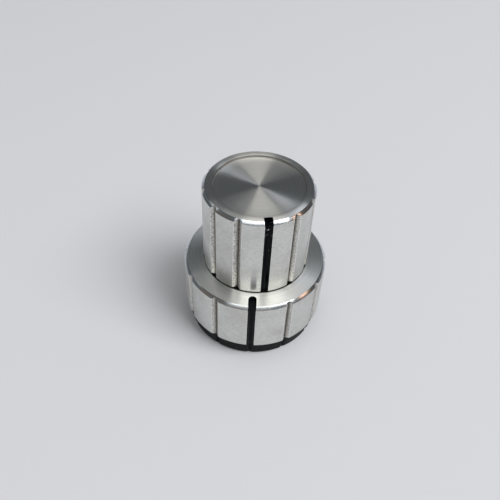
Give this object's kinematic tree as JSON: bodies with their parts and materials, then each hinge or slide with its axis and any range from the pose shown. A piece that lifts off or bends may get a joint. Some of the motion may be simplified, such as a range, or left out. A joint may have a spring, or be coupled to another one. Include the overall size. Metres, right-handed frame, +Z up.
{
  "type": "stacked control knob",
  "caption": "Stacked control knob: a small fluted aluminium knob turns above a larger fluted ring, each with a black pointer groove and a moulded push-on bush.",
  "frame": {"origin": "on the bench plane that the foot rests on, under the common axis of both knobs", "axes": "+Z up along the common axis; the lower pointer faces -Y, and at rest the upper pointer stands 11.75 degrees from it towards +X"},
  "size_m": [0.02, 0.02, 0.0237],
  "materials": {
    "satin_aluminium": "satin blasted sides, bright turned chamfers and faces",
    "black_enamel": "glossy enamel",
    "black_moulding": "moulded",
    "spring_steel": "bright drawn strip"
  },
  "bodies": {
    "lower_knob": {"lower_shell": "satin_aluminium", "lower_pointer_enamel": "black_enamel", "lower_insert": "black_moulding", "lower_spring_ring": "spring_steel"},
    "upper_knob": {"upper_shell": "satin_aluminium", "upper_pointer_enamel": "black_enamel", "upper_insert": "black_moulding", "upper_spring_ring": "spring_steel"}
  },
  "joints": [
    {"name": "upper_turn", "type": "hinge", "parent": "lower_knob", "child": "upper_knob", "pos_m": [0, 0, 0.0113], "axis": [0, 0, 1], "continuous": true}
  ]
}
